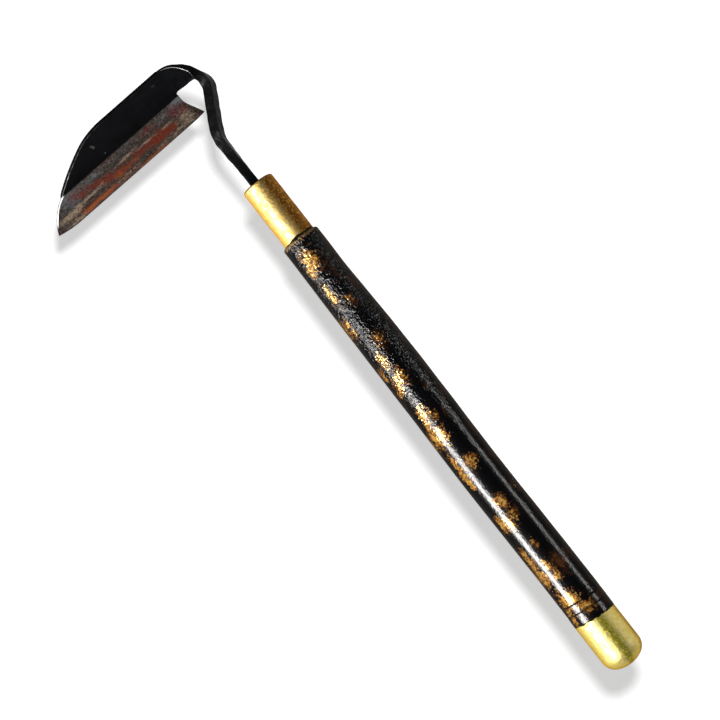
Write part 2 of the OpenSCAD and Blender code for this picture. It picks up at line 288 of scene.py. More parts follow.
def makeMottle():
    # cloudy variation at one size, and fine specks at a smaller one
    tree, given, result = newGroup("mottle", {"Cloud size": 6.0, "Speck size": 0.8, "Speck level": 0.62,
                                              "Stretch": 1.0}, ["Clouds", "Specks", "Grain"])
    place = stretched(tree, given["Stretch"])
    cloudScale = mathOf(tree, "DIVIDE", 1000.0, given["Cloud size"])
    speckScale = mathOf(tree, "DIVIDE", 1000.0, given["Speck size"])
    tree.links.new(remap(tree, noise(tree, place, cloudScale), 0.32, 0.68), result["Clouds"])
    specks = noise(tree, place, speckScale, 2.0, 0.6)
    above = mathOf(tree, "ADD", given["Speck level"], 0.07)
    tree.links.new(remap(tree, specks, given["Speck level"], above), result["Specks"])
    tree.links.new(specks, result["Grain"])
    return tree


fray, mottle = makeFray(), makeMottle()


def frayed(tree, label, size, amount, softness, level=0.5, stretch=1.0):
    # a mark of the piece with a ragged edge
    return put(tree, "Group", {"Mask": mark(tree, label), "Size": size, "Fray": amount, "Softness": softness,
                               "Level": level, "Stretch": stretch}, node_tree=fray).outputs["Mask"]


def overlay(tree, colour, label, tint, *edge):
    # lays a tint over the colour where a mark is: edge is size, raggedness, softness, level and stretch
    mask = frayed(tree, label, *edge)
    return mixColour(tree, mask, colour, tint), mask


def mottled(tree, cloudSize, speckSize, speckLevel, stretch=1.0):
    return put(tree, "Group", {"Cloud size": cloudSize, "Speck size": speckSize, "Speck level": speckLevel,
                               "Stretch": stretch}, node_tree=mottle).outputs


def newMaterial(name, **sockets):
    material = bpy.data.materials.new(name)
    material.use_nodes = True
    tree = material.node_tree
    shader = tree.nodes["Principled BSDF"]
    for label, value in sockets.items():
        shader.inputs[label.replace("_", " ")].default_value = value
    return material, tree, shader


def drive(tree, shader, **outputs):
    for label, output in outputs.items():
        tree.links.new(output, shader.inputs[label.replace("_", " ")])


def raised(tree, height, distance):
    # the normal of a bump from a height of 0 to 1, whose full rise is a distance in millimetres
    return put(tree, "Bump", {"Distance": distance * mm, "Height": height}).outputs[0]


# Brass

# the darker tones below are partly painted light: on the ferrule, shade on the side away from +Y; on the cap,
# a dark reflection along its top and shade on its side away from +Y; the ferrule's lip keeps real grime
ferruleLook = dict(
    light=(1.0, 0.95, 0.60), dark=(0.86, 0.64, 0.27), grimeAndShade=(0.12, 0.06, 0.02),
    shadeAndReflection=(0.24, 0.115, 0.025), shadeAndReflectionPale=(0.66, 0.42, 0.14), film=(0.87, 0.74, 0.48),
    cloud=3.2, speck=1.2, pits=0.30, rough=(0.44, 0.58))
capLook = dict(
    light=(1.0, 0.98, 0.84), dark=(0.90, 0.84, 0.40), grimeAndShade=(0.42, 0.25, 0.05),
    shadeAndReflection=(0.43, 0.43, 0.07), shadeAndReflectionPale=(0.88, 0.84, 0.24), film=(0.80, 0.70, 0.40),
    cloud=2.2, speck=1.1, pits=0.34, rough=(0.40, 0.52))
brassEdges = dict(shadeAndReflection=(3.0, 0.8, 0.45), grimeAndShade=(1.2, 0.6, 0.2), smear=(1.6, 0.8, 0.08))
smearBlack, brassMetal = (0.008, 0.006, 0.005), 0.88


def makeBrass(name, look):
    # a thin film of tarnish takes more light where it is seen aslant, which browns the sides
    material, tree, shader = newMaterial(name, Specular_IOR_Level=0.12, Coat_Weight=1.0, Coat_IOR=1.02,
                                         Coat_Roughness=0.5, Coat_Tint=(*look["film"], 1))
    fine = mottled(tree, look["cloud"], look["speck"], 0.55)
    colour = mixColour(tree, fine["Clouds"], look["light"], look["dark"])
    # a mottled brown of painted shade, and on the cap a painted dark reflection
    shadeAndReflection = mixColour(tree, fine["Specks"], look["shadeAndReflection"], look["shadeAndReflectionPale"])
    for label, tint in (("shadeAndReflection", shadeAndReflection), ("grimeAndShade", look["grimeAndShade"]), ("smear", smearBlack)):
        colour, mask = overlay(tree, colour, label, tint, *brassEdges[label])
    # the last mask is the smear's, where lacquer hides the metal; on the ferrule it also paints the dark
    # reflection of the wood's shoulder
    drive(tree, shader, Base_Color=colour, Metallic=remap(tree, mask, 0, 1, brassMetal, 0.0),
          Roughness=remap(tree, fine["Clouds"], 0, 1, *look["rough"]),
          Normal=raised(tree, fine["Grain"], look["pits"]))
    return material


ferruleBrass, capBrass = makeBrass("ferruleBrass", ferruleLook), makeBrass("capBrass", capLook)

# Lacquer on the wood

lacquerLook = dict(
    black=(0.0030, 0.0040, 0.0065), brown=(0.007, 0.004, 0.003), gold=(0.92, 0.47, 0.08),
    goldPale=(1.0, 0.72, 0.27), deepGold=(0.28, 0.098, 0.018), dim=(0.14, 0.052, 0.016),
    rim=(0.60, 0.38, 0.17), line=(0.004, 0.003, 0.003), varnish=(0.54, 0.515, 0.485),
    shine=(0.92, 0.96, 1), goldMetal=0.12,
    # the front is coarser: where along X, in metres, that starts and ends, and values behind and in front
    front=(0.03, 0.14), rough=(0.19, 0.10), holes=(0.5, 0.95), coarse=(0.06, 1.0), fine=(0.16, 0.50),
    bump=1.1, dimEdge=(2.6, 2.0, 0.25, 0.42), deepEdge=(3.0, 3.0, 0.14, 0.42),
    goldEdge=(1.5, 3.6, 0.14, 0.66), rimEdge=(1.6, 2.4, 0.15))


def makeLacquer(look):
    # a dark varnish: its tint takes more light where it is seen aslant, so the sides go dark
    material, tree, shader = newMaterial(
        "lacquer", IOR=1.20, Coat_Weight=1.0, Coat_IOR=1.02, Coat_Roughness=0.3,
        Coat_Tint=(*look["varnish"], 1), Specular_Tint=(*look["shine"], 1))
    fine, coarse = mottled(tree, 5.0, 1.4, 0.545), mottled(tree, 5.0, 2.2, 0.55)
    colour = mixColour(tree, times(tree, fine["Clouds"], 0.5), look["black"], look["brown"])
    # dim: thin-lacquer spots painted dim as shade, and a painted brown reflection along the side away from +Y
    colour, _ = overlay(tree, colour, "dim", look["dim"], *look["dimEdge"])
    colour, _ = overlay(tree, colour, "amber", look["deepGold"], *look["deepEdge"])
    pale = remap(tree, fine["Grain"], 0.36, 0.46, 0.9, 0.0)
    goldTint = mixColour(tree, pale, look["gold"], look["goldPale"])
    colour, gold = overlay(tree, colour, "amber", goldTint, *look["goldEdge"])
    colour, _ = overlay(tree, colour, "rim", look["rim"], *look["rimEdge"])
    x = put(tree, "SeparateXYZ", {0: put(tree, "TexCoord").outputs["Object"]}).outputs["X"]
    worn = remap(tree, x, *look["front"])
    # black pinholes, more of them in front
    holes = mathOf(tree, "MAXIMUM", times(tree, fine["Specks"], 0.85),
                   times(tree, coarse["Specks"], remap(tree, worn, 0, 1, *look["holes"])))
    colour = mixColour(tree, holes, colour, look["black"])
    # dark lines: painted shade in the ring grooves, and the dark joint at the cap's edge
    colour = mixColour(tree, mark(tree, "line"), colour, look["line"])
    bare = mathOf(tree, "SUBTRACT", 1.0, mathOf(tree, "MAXIMUM", holes, mark(tree, "line")))
    height = times(tree, coarse["Grain"], remap(tree, worn, 0, 1, *look["coarse"]))
    height = mathOf(tree, "MULTIPLY_ADD", fine["Grain"], remap(tree, worn, 0, 1, *look["fine"]), height)
    drive(tree, shader, Base_Color=colour, Metallic=times(tree, times(tree, gold, bare), look["goldMetal"]),
          Roughness=remap(tree, worn, 0, 1, *look["rough"]), Normal=raised(tree, height, look["bump"]))
    return material


lacquer = makeLacquer(lacquerLook)

# Forged iron and the ground steel edge

ironLook = dict(
    scale=(0.0016, 0.0020, 0.0028), scaleLight=(0.0050, 0.0056, 0.0072), brownScale=(0.010, 0.007, 0.005),
    paleFleck=(0.26, 0.20, 0.155), darkFleck=(0.022, 0.014, 0.011), brightMetal=0.45, shine=0.03,
    coat=0.14, rough=(0.28, 0.50), grainRough=0.25, dentsPerMetre=480, dentShare=3.0, bump=0.20,
    softness=0.42, stretch=0.5, brownEdge=(5.0, 0.4, 0.3),
    # each layer: its mark, its colour, the size of its ragged edge in millimetres, and how ragged it is
    layers=[("sole", (0.066, 0.052, 0.045), 2.0, 0.3), ("pale", (0.165, 0.155, 0.148), 1.6, 2.0),
            ("blue", (0.19, 0.205, 0.225), 2.2, 1.6), ("plum", (0.17, 0.052, 0.048), 2.0, 2.2),
            ("beige", (0.44, 0.32, 0.22), 1.5, 2.6), ("red", (0.215, 0.036, 0.017), 1.8, 2.0),
            ("orange", (0.34, 0.085, 0.028), 1.6, 2.4), ("dark", (0.026, 0.016, 0.012), 1.6, 2.2),
            ("bright", (0.95, 0.93, 0.92), 1.6, 0.5)])


def makeIron(name, look, metal):
    # black scale, and on it the sole's colours, one after the other
    material, tree, shader = newMaterial(name, Coat_Roughness=0.22, Specular_IOR_Level=look["shine"])
    fine = mottled(tree, 7.0, 1.0, 0.555, 0.7)
    colour = mixColour(tree, fine["Clouds"], look["scale"], look["scaleLight"])
    colour, _ = overlay(tree, colour, "brown", look["brownScale"], *look["brownEdge"])
    masks = {}
    # the bright layer holds the ground steel at the toe and spots on the web, and also painted highlights and
    # glints on the neck and along the web's far edge
    for label, tint, size, amount in look["layers"]:
        if label == "bright":
            # pale and dark flecks all over the sole, weaker on the rust
            plain = remap(tree, mathOf(tree, "ADD", masks["red"], masks["orange"]), 0, 1, 1.0, 0.45)
            flecked = times(tree, plain, mark(tree, "sole"))
            pale = times(tree, remap(tree, fine["Grain"], 0.36, 0.47, 0.40, 0.0), flecked)
            colour = mixColour(tree, pale, colour, look["paleFleck"])
            deep = times(tree, times(tree, fine["Specks"], 0.6), flecked)
            colour = mixColour(tree, deep, colour, look["darkFleck"])
        edge = size, amount, look["softness"], 0.5, look["stretch"]
        colour, masks[label] = overlay(tree, colour, label, tint, *edge)
    rough = remap(tree, mark(tree, "sole"), 0, 1, *look["rough"])
    # the neck, marked brown, keeps a hammered, oily skin; the web and the sole are dull
    dents = noise(tree, put(tree, "TexCoord").outputs["Object"], look["dentsPerMetre"], 2.0, 0.6)
    dents = times(tree, dents, mark(tree, "brown"))
    height = mathOf(tree, "MULTIPLY_ADD", dents, look["dentShare"], fine["Grain"])
    drive(tree, shader, Base_Color=colour,
          Metallic=remap(tree, masks["bright"], 0, 1, metal, look["brightMetal"]),
          Roughness=mathOf(tree, "MULTIPLY_ADD", fine["Grain"], look["grainRough"], rough),
          Coat_Weight=times(tree, mark(tree, "brown"), look["coat"]),
          Normal=raised(tree, height, look["bump"]))
    return material


forgedIron = makeIron("forgedIron", ironLook, 0.0)
edgeSteel = makeIron("edgeSteel", ironLook, 0.15)
print("materials ready")

# Handle: turned wood under lacquer

handle = dict(gripRadius=13.7, gripLength=158, swellLength=86, frontRadius=12.7, frontLength=28.4,
              shoulderRound=1.5, ringWidth=0.6, ringDepth=0.25, ringGap=6.1, ringToCap=6.9, slant=1.3,
              wander=0.3, waveSize=26, waveDepth=0.004, around=128, farBrown=0.42, rimBare=1.1,
              # seeded spots at the back: how many, how many of them gold, and the span of each value
              backSpots=46, backGold=26, backSpans=((-90, 185), (80, 280), (3, 7), (9, 18), (0.6, 1.1)))
ferrule = dict(radius=10.6, length=42.2, wall=1.0, hole=6.02, lipRound=1.6, around=144, grimeAndShade=0.9)
cap = dict(length=35.6, step=0.1, wall=0.8, corner=9.5, dome=20, around=144, smear=0.62, smearWave=0.12,
           grimeAndShade=0.55)
fitGap = 0.1
ringOne = -handle["gripLength"] / 2 - handle["ringWidth"] / 2
ringTwo = ringOne - handle["ringGap"]
capEdge = ringTwo - handle["ringToCap"]
buttEnd = capEdge - cap["length"]
capRadius = handle["gripRadius"] - cap["step"]
shoulder = handle["gripLength"] / 2 + handle["swellLength"] + handle["frontLength"]
mouth = shoulder + ferrule["length"]

# gold where the lacquer is thin, and dull brown spots that are thin lacquer painted dim as shade, out of the
# key lamp's light: [x, degrees from the top, half length, half width, strength]
goldSpots = [
    [178, 13, 6.5, 22, 1.2], [171, 36, 4, 10, 0.8], [154, 31, 8, 12, 1.0], [146, -4, 3, 12, 0.6],
    [131, 47, 5.5, 9, 1.2], [132, 70, 9, 12, 0.9], [116, 1, 4.5, 14, 0.55], [104.5, 29, 5, 13, 1.0],
    [96.5, 60, 5.5, 10, 0.9], [90.5, 17, 5, 16, 1.0], [85, 38, 5, 10, 0.8], [81, 55, 5, 8, 0.8],
    [64.5, 31, 5, 15, 1.2], [60, 7, 4, 9, 0.5], [57, 45, 4, 8, 0.6], [48.5, 23, 6.5, 16, 0.9],
    [47.5, 48, 7, 13, 1.0], [24.5, 4, 5, 14, 0.9], [31, 45, 4.5, 9, 0.9], [21.5, 48, 5.5, 11, 1.0],
    [13.5, 45, 4.5, 10, 1.1], [-4.7, 6, 5, 14, 0.9], [-15, 1, 4, 10, 0.6], [-18.5, 23, 5.5, 12, 0.8],
    [-16.5, 48, 6, 12, 1.0], [-36, 7, 4, 8, 0.6], [-38, 52, 4, 9, 0.9], [-50, 17, 4, 10, 0.7],
    [-59, 13, 4, 11, 0.8], [-44, 54, 5, 9, 0.9], [-55, 52, 8, 14, 1.1], [-75.5, 15, 5.5, 14, 1.0],
    [-75, 41, 6, 13, 1.0], [-84, 0, 4, 18, 0.9], [-85.5, 57, 8, 12, 1.0], [-2, -58, 4.5, 9, 0.6]]
dimSpots = [
    [152, -48, 7, 14, 0.8], [143, -8, 5, 12, 0.6], [108, -63, 5, 12, 0.8], [89, -60, 5, 12, 0.8],
    [68, -62, 6, 12, 0.9], [77, -22, 3.5, 8, 0.6], [57, -22, 3.5, 8, 0.5], [116, 1, 6, 18, 0.6],
    [44, -62, 5, 12, 0.7], [37, -62, 5, 12, 0.7], [21, -60, 6, 12, 0.9], [-13, -12, 3, 7, 0.6],
    [-54, -14, 7, 14, 0.9], [-52, -55, 5, 18, 0.9], [-83.5, -55, 5, 18, 0.9], [165, -20, 8, 14, 0.5]]


def capShape(inset):
    # the cap, or a shell inside it: a shallow dome that runs into a rounded corner, as points [x, radius]
    radius, corner, dome = (size - inset for size in (capRadius, cap["corner"], cap["dome"]))
    inner = radius - corner
    depth = np.sqrt((dome - corner) ** 2 - inner ** 2)
    meet = np.degrees(np.arctan2(inner, depth))
    domeArc = np.radians(np.linspace(0, meet, 16))
    cornerArc = np.radians(np.linspace(meet, 90, 20)[1:])
    centre = buttEnd + inset + dome
    return np.concatenate([
        np.stack([centre - dome * np.cos(domeArc), dome * np.sin(domeArc)], 1),
        np.stack([centre - depth - corner * np.cos(cornerArc), inner + corner * np.sin(cornerArc)], 1)])


def handleRadius(x):
    # parallel grip, then a quadratic narrowing over the swell, then the even front
    part = ramp(x, handle["gripLength"] / 2, handle["swellLength"])
    return handle["gripRadius"] - (handle["gripRadius"] - handle["frontRadius"]) * part ** 2


def makeHandle():
    # turned wood: rounded under the cap, two ring grooves, a rounded shoulder and the ferrule's tenon
    rear = capShape(cap["wall"] + fitGap)
    rings = ringTwo, ringOne
    grooves = np.concatenate([ring + handle["ringWidth"] * np.linspace(-1, 1, 9) for ring in rings])
    body = np.unique(np.round(np.concatenate([np.arange(capEdge + 0.4, shoulder - 2, 0.8), grooves]), 3))
    radius = handleRadius(body)
    for ring in rings:
        radius -= handle["ringDepth"] * bell(body, ring, handle["ringWidth"] / 2.2)
    soft, lip = handle["shoulderRound"], ferrule["lipRound"]
    tenon = ferrule["radius"] - ferrule["wall"] - fitGap
    end = mouth - ferrule["wall"]
    profile = np.concatenate([
        rear, [[capEdge - 3, rear[-1, 1]], [capEdge, rear[-1, 1]], [capEdge, handle["gripRadius"] - 0.25],
               [capEdge + 0.12, handle["gripRadius"]]],
        np.stack([body, radius], 1), arc((shoulder - soft, handle["frontRadius"] - soft), soft, 0, 90, 9),
        [[shoulder, tenon]], arc((end - lip, tenon - lip), lip, 0, 90, 7), [[end, 0]]])
    points, angle = turnRound(profile, handle["around"])
    x, side = profile[:, :1], points[..., 1] / np.maximum(profile[:, 1:], 0.1)
    # the rings and the cap's edge lean; the shown wood wanders off its axis and is slightly uneven
    points[..., 0] += handle["slant"] * side * ramp(x, -62, -12) * ramp(x, buttEnd + 25, 8)
    shown = ramp(x, shoulder + 1, -3) * ramp(x, capEdge, 8)
    points[..., 1] += handle["wander"] * np.sin(x / 27 + 1) * shown * ramp(x, 185, -30)
    uneven = handle["waveDepth"] * (waves(points, handle["waveSize"], 3) - 1.6) * shown
    points += points * [0, 1, 1] * uneven[..., None]
    degrees = np.degrees((angle + np.pi) % (2 * np.pi) - np.pi)
    random = np.random.default_rng(11)
    back = np.stack([random.uniform(*span, handle["backSpots"]) for span in handle["backSpans"]], 1)
    back[:, 1] = (back[:, 1] + 180) % 360 - 180
    golden, dull = np.split(back, [handle["backGold"]])
    xs = points[..., 0]
    # no spot on the wood is turned
    amber, dim = (patches(xs, degrees, np.insert(np.concatenate(spots), 4, 0, 1))
                  for spots in ((goldSpots, golden), (dimSpots, dull)))
    # a painted brown reflection along the side away from +Y
    farSide = handle["farBrown"] * ramp(np.abs(side), 0.62, 0.25) * (side < 0)
    farSide = farSide * (0.8 + 0.4 * waves(points, 14, 6))
    rim = handle["rimBare"] * bell(xs, shoulder - 0.4, 2.2) * np.clip(1 + 0.3 * side, 0, 1)
    # dark lines: painted shade in the two ring grooves, and the dark joint at the cap's edge
    line = np.clip(bell(x, ringOne, 0.7) + 0.75 * bell(x, ringTwo, 1.0) + bell(x, capEdge, 0.7), 0, 1)
    marks = dict(amber=amber, dim=np.maximum(dim, farSide), rim=np.clip(rim, 0, 1), line=line)
    addTurned("handle_wood", points, marks, False, lacquer, "handle")


def makeFerrule():
    # a tube whose front is turned in to a lip over the wood's end
    f, soft = ferrule, 0.2
    bore, inner = f["radius"] - f["wall"], f["lipRound"] - f["wall"]
    body = np.linspace(shoulder + 1, mouth - f["lipRound"] - 0.5, 50)
    profile = np.concatenate([
        [[shoulder, bore], [shoulder, f["radius"] - soft]],
        arc((shoulder + soft, f["radius"] - soft), soft, -60, 0, 3),
        np.stack([body, body * 0 + f["radius"]], 1),
        arc((mouth - f["lipRound"], f["radius"] - f["lipRound"]), f["lipRound"], 0, 90, 12),
        [[mouth, f["hole"] + soft], [mouth - soft * 0.3, f["hole"] + soft * 0.3], [mouth - soft, f["hole"]],
         [mouth - f["wall"], f["hole"]]],
        arc((mouth - f["wall"] - inner, bore - inner), inner, 90, 0, 7),
        [[shoulder + 12, bore]]])
    points, angle = turnRound(profile, f["around"])
    outer = (points[..., 0] > shoulder + 2) & (profile[:, 1:] > bore + 0.3)
    points += points * [0, 1, 1] * (0.003 * (waves(points, 11, 8) - 1) * outer)[..., None]
    # lacquer smeared over the rear edge, reaching further where it also paints the dark reflection of the
    # wood's shoulder; grime at the lip; painted shade on the side away from +Y
    x, across = profile[:, :1], np.sin(angle)
    reach = 0.4 + 1.3 * bell(across, 0.10, 0.4) + bell(across, -0.75, 0.3)
    marks = dict(smear=ramp(reach - x + shoulder, -0.6, 1.2), grimeAndShade=f["grimeAndShade"] * bell(x, mouth, 0.9),
                 shadeAndReflection=ramp(across, 0.3, -0.8))
    addTurned("brass_ferrule", points, marks, True, ferruleBrass, "ferrule")


def makeCap():
    # a drawn cup whose open edge leans as the rings do
    outside, inside, bore = capShape(0), capShape(cap["wall"]), capRadius - cap["wall"]
    wall, soft = np.linspace(outside[-1, 0] + 0.8, capEdge - 0.8, 34), 0.25
    profile = np.concatenate([
        outside, np.stack([wall, wall * 0 + capRadius], 1),
        arc((capEdge - soft, capRadius - soft), soft, 0, 90, 4), [[capEdge, bore], [capEdge - 8, bore]],
        inside[::-1]])
    points, angle = turnRound(profile, cap["around"])
    x, side = profile[:, :1], np.sin(angle)
    points[..., 0] += ramp(x, buttEnd + 14, 14) * (handle["slant"] * side - 0.05)
    # lacquer smeared over the edge, painted shade on the side away from +Y, and a painted dark reflection
    # along the middle
    smear = np.clip(bell(x, capEdge, 1.2) * (cap["smear"] + cap["smearWave"] * waves(points, 3.0, 5)), 0, 1)
    marks = dict(smear=smear, grimeAndShade=cap["grimeAndShade"] * bell(side, -1, 0.25), shadeAndReflection=bell(side, -0.12, 0.24))
    addTurned("brass_cap", points, marks, False, capBrass, "butt_cap")


makeHandle()
makeFerrule()
makeCap()

# Forging: tang, neck and blade

bar = dict(side=6.2, bowSide=6.9, tangLength=85, tangEven=30, skew=0.6, tip=3.4, lean=0.2, leanLength=4,
           run=30.4, crank=29.2, crankRadius=25.4, rise=23, bow=50.7, bowRadius=10.7, bridge=24.8,
           bridgeRadius=37.1, throatRadius=14.6, twist=30, corner=0.9, hammered=0.16, highlightLevel=0.72)
blade = dict(angle=93.4, tilt=14.5, fold=131.7, plate=1.7, webWidth=29.1, webStart=1.4, webTop=45,
             shoulderRadius=39.5, shoulderTurn=33.2, toeTurn=12, soleWidth=18.9, toeSlant=25, toeRadius=35,
             heelSlant=25, notchRun=3, notchRadius=11, edgeHeel=0.1, heelSpan=4, edgeToe=2.3, bevel=8.3,
             edgeThick=0.4, toeBevel=1.3, steelWidth=12, steelThick=0.9, foldRound=0.9, rounding=0.22,
             steelRounding=0.12, steelGap=0.04, sink=0.06, webRipple=0.12, soleRipple=0.05)
plate, webWidth = blade["plate"], blade["webWidth"]
toeRadius, soleWidth = blade["toeRadius"], blade["soleWidth"]
layerNames = [layer[0] for layer in ironLook["layers"]] + ["brown"]
brightColumn = layerNames.index("bright")
throatTurn = blade["angle"] - bar["skew"] - bar["lean"] + bar["crank"] - bar["bow"] - bar["bridge"]
neckStart = (mouth - bar["tangLength"], 0, bar["skew"])
neckLegs = [[bar["tangLength"], 0], [bar["leanLength"], bar["lean"]], [bar["run"] - bar["leanLength"], 0],
            bend(bar["crankRadius"], -bar["crank"]), [bar["rise"], 0], bend(bar["bowRadius"], bar["bow"]),
            bend(bar["bridgeRadius"], bar["bridge"]), bend(bar["throatRadius"], throatTurn), [3, 0]]
legEnds = np.append(0, np.cumsum([leg[0] for leg in neckLegs]))
crankAt, riseAt, bowAt, bridgeAt = legEnds[3:7]
webAt, neckEnd = legEnds[8:10]
throatLength = webAt - bridgeAt
webLean = blade["fold"] - blade["tilt"] - 90


def barStation(place, scale, twist):
    return [place, scale * bar["side"], scale * bar["side"], -twist * bar["twist"]]


def throatStation(part, thin, deep, lean):
    return [bridgeAt + part * throatLength, thin * bar["side"],
            bar["side"] + deep * (webWidth - bar["side"]), lean * webLean]


# the bar's section along its walk: [place, thickness, depth, lean in degrees]
bowScale = bar["bowSide"] / bar["side"]
webSection = [plate - blade["sink"], webWidth - blade["sink"], webLean]
neckStations = np.array([
    barStation(0, bar["tip"] / bar["side"], 0), barStation(bar["tangLength"] - bar["tangEven"], 1, 0),
    barStation(bar["tangLength"], 1, 0), barStation(crankAt, 1.05, 0.6), barStation(riseAt, bowScale, 1),
    barStation(bowAt, bowScale, 1), barStation(bowAt + 0.6 * (bridgeAt - bowAt), bowScale, 0.9),
    barStation(bridgeAt, 1.07, 0.36), barStation(bridgeAt + 0.1 * throatLength, 1.03, 0.23),
    throatStation(0.2, 0.95, 0.16, 0.5), throatStation(0.3, 0.85, 0.34, 1.1),
    throatStation(0.5, 0.63, 0.62, 1.2), throatStation(0.7, 0.45, 0.82, 1.1),
    throatStation(0.85, 0.34, 0.93, 1.03), [webAt] + webSection, [neckEnd] + webSection])


def sectionPoints(corners=6, shortSide=5, longSide=14):
    # a rectangle with rounded corners: corner centres as signs, and the unit arc round each
    signs = np.array([(1, 1), (-1, 1), (-1, -1), (1, -1)])
    centres, arcs = [], []
    for k in range(4):
        angle = np.radians(90 * k + np.linspace(0, 90, corners))
        part = np.linspace(0, 1, (shortSide, longSide)[k % 2] + 2)[1:-1, None]
        arcs += [np.stack([np.cos(angle), np.sin(angle)], 1)]
        arcs += [np.tile(arcs[-1][-1], (len(part), 1))]
        centres += [np.tile(signs[k], (corners, 1)), signs[k] * (1 - part) + signs[(k + 1) % 4] * part]
    return np.concatenate(centres), np.concatenate(arcs)


def makeNeck():
    # the section is carried along the walk, hung from its top edge so that it deepens downwards
    tangEnd = bar["tangLength"]
    s = np.concatenate([np.linspace(0, tangEnd, 30)[:-1], np.linspace(tangEnd, bridgeAt, 90)[:-1],
                        np.linspace(bridgeAt, webAt, 70)[:-1], np.linspace(webAt, neckEnd, 5)])
    x, y, heading = walk(neckStart, neckLegs, s)
    thick, deep, lean = (ease(neckStations[:, 0], neckStations[:, k], s) for k in (1, 2, 3))
    centres, arcs = sectionPoints()
    corner = np.minimum(bar["corner"], thick * 0.42)[:, None]
    across = centres[:, 0] * (thick[:, None] / 2 - corner) + arcs[:, 0] * corner
    up = centres[:, 1] * (deep[:, None] / 2 - corner) + arcs[:, 1] * corner
    up = up + (np.minimum(bar["bowSide"], deep) / 2 - deep / 2)[:, None]
    turn, tip = np.radians(heading), np.radians(lean)
    out = np.stack([np.sin(turn), -np.cos(turn), 0 * turn], -1)[:, None, :]
    cosTip, sinTip = np.cos(tip)[:, None, None], np.sin(tip)[:, None, None]
    v, w = cosTip * upwards + sinTip * out, cosTip * out - sinTip * upwards
    points = np.stack([x, y, 0 * x], -1)[:, None, :] + across[..., None] * w + up[..., None] * v
    normal = arcs[:, :1] * w + arcs[:, 1:] * v
    bare = (ramp(s, tangEnd + 3, 8) * ramp(s, webAt, -12))[:, None]
    beaten = 0.6 * waves(points, 9, 21) + 0.4 * waves(points, 4.5, 22)
    points = points + normal * (bar["hammered"] * bare * (beaten - 0.8))[..., None]
    # marks: brown on the outer side, a painted highlight along the throat's inner edge, and painted glints
    # down the neck's inner edge
    brown = ramp(arcs[:, 0], -0.35, 1) * (ramp(s, tangEnd, 10) * ramp(s, webAt, -25))[:, None]
    throat = ramp(s, bridgeAt + 0.08 * throatLength, 6) * ramp(s, webAt + 2, -6)
    glow = 1 - 0.55 * np.abs(s - bridgeAt - 0.55 * throatLength) / (0.5 * throatLength)
    neck = ramp(s, tangEnd + 8, 6) * ramp(s, bridgeAt, -6)
    specks = neck[:, None] * np.clip(3 * (waves(points, 3.2, 51) - 0.5), 0, 1)
    innerEdge = ((centres[:, 0] == -1) & (centres[:, 1] == 1)
                 & (np.abs(np.degrees(np.arctan2(arcs[:, 1], arcs[:, 0])) - 144) < 8))
    # a painted highlight and painted glints on the inner edge
    bright = bar["highlightLevel"] * innerEdge * np.maximum((throat * np.clip(glow, 0, 1))[:, None], specks)
    plain = [0 * bright] * brightColumn
    data = np.concatenate([points, np.stack(plain + [bright, brown], -1)], -1)
    ends = [np.repeat(ring.mean(0)[None, None], data.shape[1], 1) for ring in (data[0], data[-1])]
    data = np.concatenate([ends[0], data, ends[1]])
    return [gridSheet(data, loopColumns=True)]


# The blade's own frame: u along the fold, q up the web where positive and down the sole where negative
endX, endY, endTurn = walk(neckStart, neckLegs, webAt)
turn, lean, tilt = np.radians([endTurn, webLean, blade["tilt"]])
alongFold = np.array([np.cos(turn), np.sin(turn), 0])
towardsHandle = np.array([-np.sin(turn), np.cos(turn), 0])
webTop = webWidth - (bar["bowSide"] + blade["sink"]) / 2
foldStart = (np.array([endX, endY, 0]) - blade["webStart"] * alongFold
             + (webTop * np.sin(lean) + plate / 2 * np.cos(lean)) * towardsHandle
             + (plate / 2 * np.sin(lean) - webTop * np.cos(lean)) * upwards)
webLine = -np.sin(lean) * towardsHandle + np.cos(lean) * upwards
soleLine = np.cos(tilt) * towardsHandle - np.sin(tilt) * upwards
shoulderLeg = bend(blade["shoulderRadius"], -blade["shoulderTurn"])
webStartPoint = (blade["webStart"], webWidth, 0)
cornerLegs = [[blade["webTop"], 0], shoulderLeg]
cornerAt = blade["webTop"] + shoulderLeg[0]
cornerX, cornerY, _ = walk(webStartPoint, cornerLegs, cornerAt)
toeMean = np.radians(blade["shoulderTurn"] + blade["toeTurn"] / 2)
toeChord = cornerY / np.sin(toeMean)
toeHalf = np.radians(blade["toeTurn"] / 2)
toeLeg = [toeChord * toeHalf / np.sin(toeHalf), -blade["toeTurn"]]
foldLength = cornerX + toeChord * np.cos(toeMean)
# the web's outline above the fold, and the heel's line across the sole, each as even steps
steps = np.linspace(0, 1, 400)
outlineX, outlineY, _ = walk(webStartPoint, cornerLegs + [toeLeg], steps * (cornerAt + toeLeg[0]))
heelLegs = [[blade["notchRun"], 0], bend(blade["notchRadius"], blade["heelSlant"]), [40, 0]]
heelX, heelY, _ = walk((0, 0, 90), heelLegs, steps * 40)
toeCentre = (foldLength - toeRadius * np.sin(np.radians(blade["toeSlant"])),
             toeRadius * np.cos(np.radians(blade["toeSlant"])))


def toeU(w, radius):
    # where a circle round the toe's centre crosses the line at w
    return toeCentre[0] + np.sqrt(radius ** 2 - (w - toeCentre[1]) ** 2)


toeFar = toeU(soleWidth, toeRadius)
toeShown = toeRadius - 0.05
toeInner = toeRadius - blade["toeBevel"]
toeColumns = np.array([0.35, 0.7, 1.0])
steelFrom = soleWidth - blade["steelWidth"]
cover = plate - blade["steelThick"]
bevelSlope = (plate - blade["edgeThick"]) / blade["bevel"]


